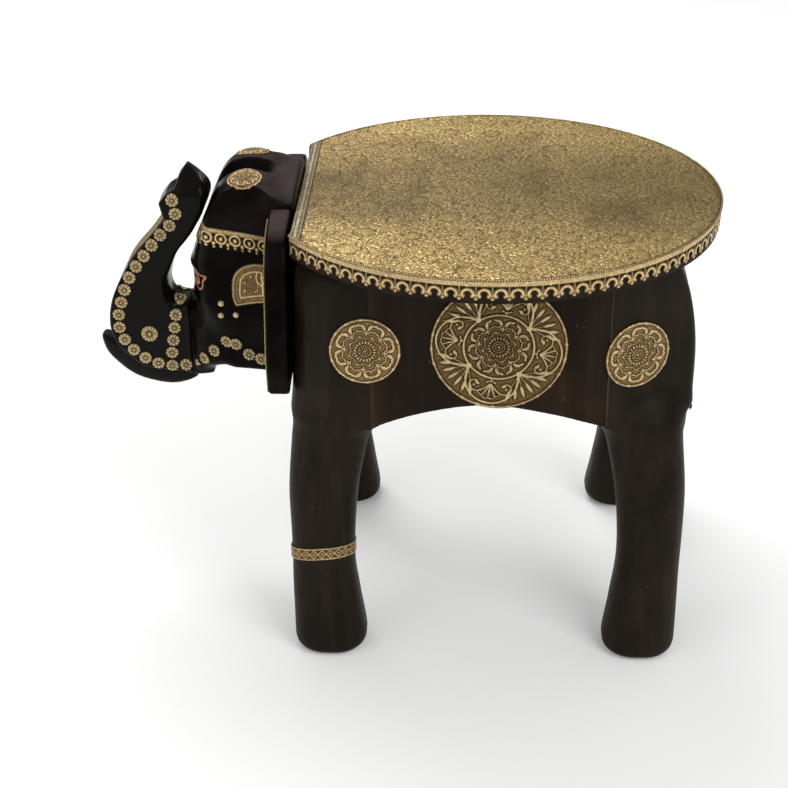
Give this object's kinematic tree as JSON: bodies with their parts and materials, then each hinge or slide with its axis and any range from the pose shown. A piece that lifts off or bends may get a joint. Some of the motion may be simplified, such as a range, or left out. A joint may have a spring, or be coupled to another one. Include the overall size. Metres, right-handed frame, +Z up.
{
  "type": "carved elephant stool",
  "caption": "Low stool carved as a standing elephant with a raised trunk: its back carries a flat, nearly round seat clad in embossed brass, with brass medallions, studs and looped edging.",
  "frame": {"origin": "on the floor, under the middle of the whole object's bounding box", "axes": "+X from the trunk towards the tail, along the elephant's length; +Y towards the elephant's right flank; +Z up, out of the seat"},
  "size_m": [0.5803, 0.4213, 0.4284],
  "materials": {
    "ebonised_wood": "ebonised, satin, brown where it is worn",
    "polished_black_wood": "ebonised and polished",
    "seat_board_wood": "dark stain, matt",
    "dowel_wood": "plain turned hardwood",
    "embossed_brass": "embossed sheet, antique patina in the hollows",
    "brass_trim": "pressed strip, antique patina in the hollows",
    "brass_medallion": "pressed sheet, antique patina in the hollows",
    "brass_stud": "pressed, rubbed bright",
    "screw_steel": "plain zinc"
  },
  "bodies": {
    "root": {"torso": "ebonised_wood", "leg_front_left": "ebonised_wood", "leg_front_right": "ebonised_wood", "leg_rear_left": "ebonised_wood", "leg_rear_right": "ebonised_wood", "tail": "ebonised_wood", "head": "polished_black_wood", "trunk": "polished_black_wood", "lower_lip": "polished_black_wood", "ear_left": "polished_black_wood", "ear_right": "polished_black_wood", "seat_board": "seat_board_wood", "leg_dowels": "dowel_wood", "head_dowels": "dowel_wood", "ear_dowels": "dowel_wood", "trunk_dowels": "dowel_wood", "seat_sheet": "embossed_brass", "seat_border": "embossed_brass", "seat_wire": "brass_trim", "seat_lace": "brass_trim", "headband": "brass_trim", "trunk_strip": "brass_trim", "ear_trim_left": "brass_trim", "ear_trim_right": "brass_trim", "anklet_left": "brass_trim", "anklet_right": "brass_trim", "medallion_large_left": "brass_medallion", "medallion_large_right": "brass_medallion", "medallion_front_left": "brass_medallion", "medallion_front_right": "brass_medallion", "medallion_rear_left": "brass_medallion", "medallion_rear_right": "brass_medallion", "crown_medallion_left": "brass_medallion", "crown_medallion_right": "brass_medallion", "cheek_paisley_left": "brass_medallion", "cheek_paisley_right": "brass_medallion", "lace_nails": "brass_stud", "cheek_studs_left": "brass_stud", "cheek_studs_right": "brass_stud", "cheek_rosettes_left": "brass_stud", "cheek_rosettes_right": "brass_stud", "trunk_rosettes_left": "brass_stud", "trunk_rosettes_right": "brass_stud", "trunk_daisy_left": "brass_stud", "trunk_daisy_right": "brass_stud", "seat_screws": "screw_steel"}
  },
  "joints": []
}
